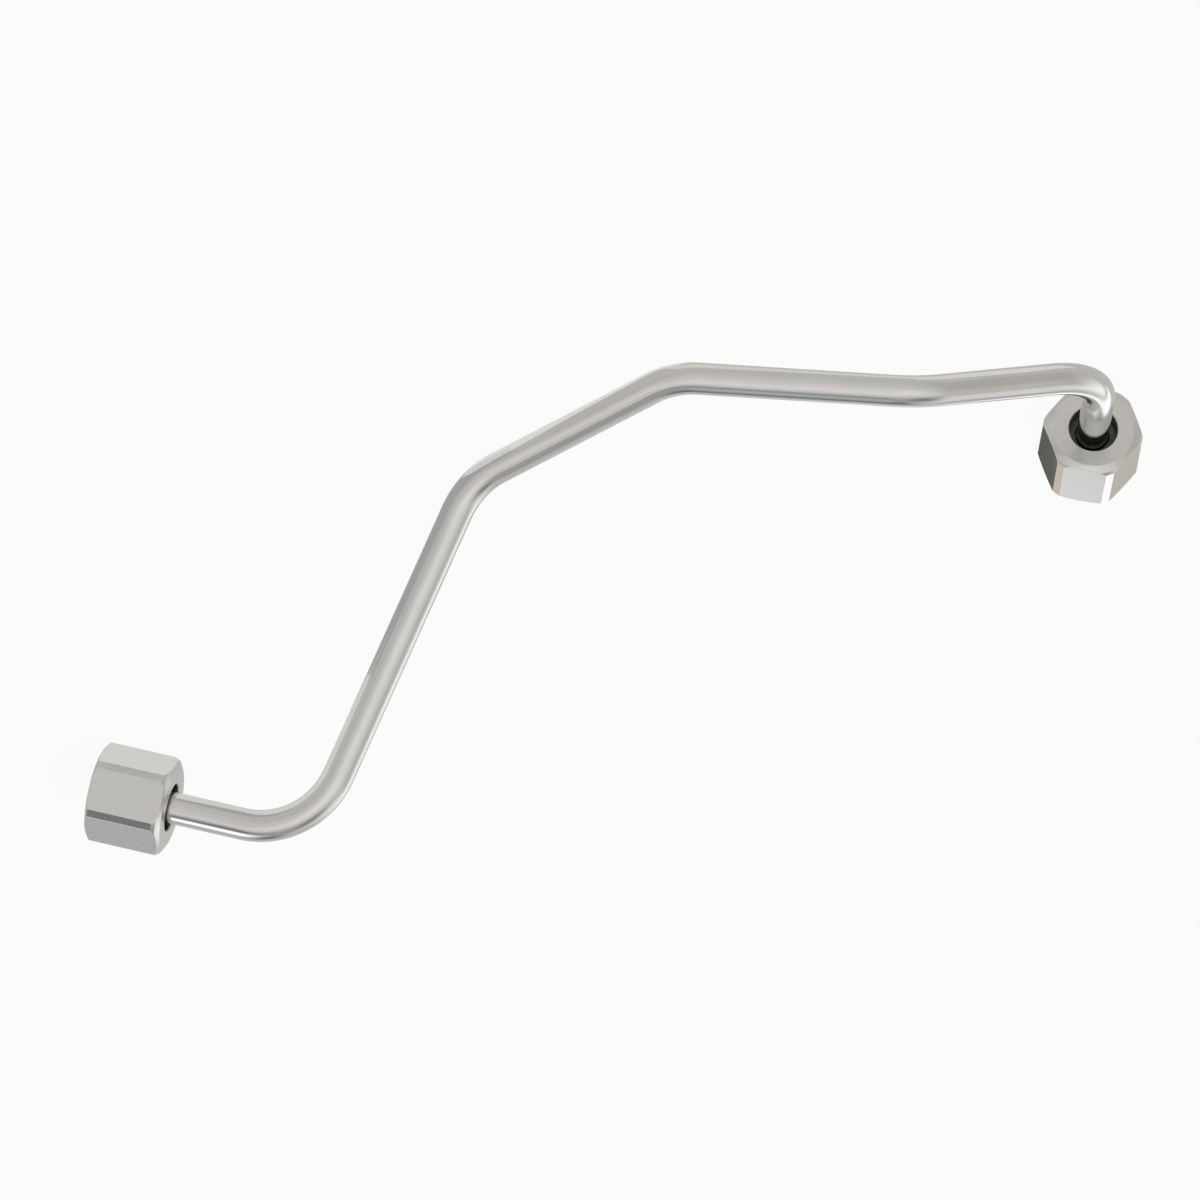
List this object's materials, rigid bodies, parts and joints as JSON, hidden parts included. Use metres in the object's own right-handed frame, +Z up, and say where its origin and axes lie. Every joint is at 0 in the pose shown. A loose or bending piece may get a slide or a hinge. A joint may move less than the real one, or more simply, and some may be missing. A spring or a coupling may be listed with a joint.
{
  "type": "fuel injection line",
  "caption": "Bent high-pressure steel fuel line with a cone-shaped sealing head, a loose thrust sleeve and a hexagon union nut at each end.",
  "frame": {"origin": "on the bench under the middle of the bounding box, with the line lying as it comes to rest", "axes": "+X along the bench from the inlet nut to the outlet nut, +Z up from the bench"},
  "size_m": [0.2116, 0.0662, 0.0351],
  "materials": {
    "tube_steel": "satin bright-drawn steel tube",
    "nut_steel": "satin turned and plated steel",
    "sleeve_steel": "plain turned steel"
  },
  "bodies": {
    "tube": {"tube": "tube_steel"},
    "inlet_sleeve": {"inlet_sleeve": "sleeve_steel"},
    "inlet_nut": {"inlet_nut": "nut_steel"},
    "outlet_sleeve": {"outlet_sleeve": "sleeve_steel"},
    "outlet_nut": {"outlet_nut": "nut_steel"}
  },
  "joints": [
    {"name": "inlet_slide", "type": "slide", "parent": "tube", "child": "inlet_sleeve", "axis": [0.7898, -0.2139, 0.5748], "range_m": [0, 0.0163]},
    {"name": "inlet_turn", "type": "hinge", "parent": "inlet_sleeve", "child": "inlet_nut", "pos_m": [-0.10059, -0.02124, 0.00736], "axis": [0.7898, -0.2139, 0.5748], "continuous": true},
    {"name": "outlet_slide", "type": "slide", "parent": "tube", "child": "outlet_sleeve", "axis": [0.1067, 0.8727, 0.4765], "range_m": [0, 0.0158]},
    {"name": "outlet_turn", "type": "hinge", "parent": "outlet_sleeve", "child": "outlet_nut", "pos_m": [0.09579, -0.02816, 0.00806], "axis": [0.1067, 0.8727, 0.4765], "continuous": true}
  ]
}
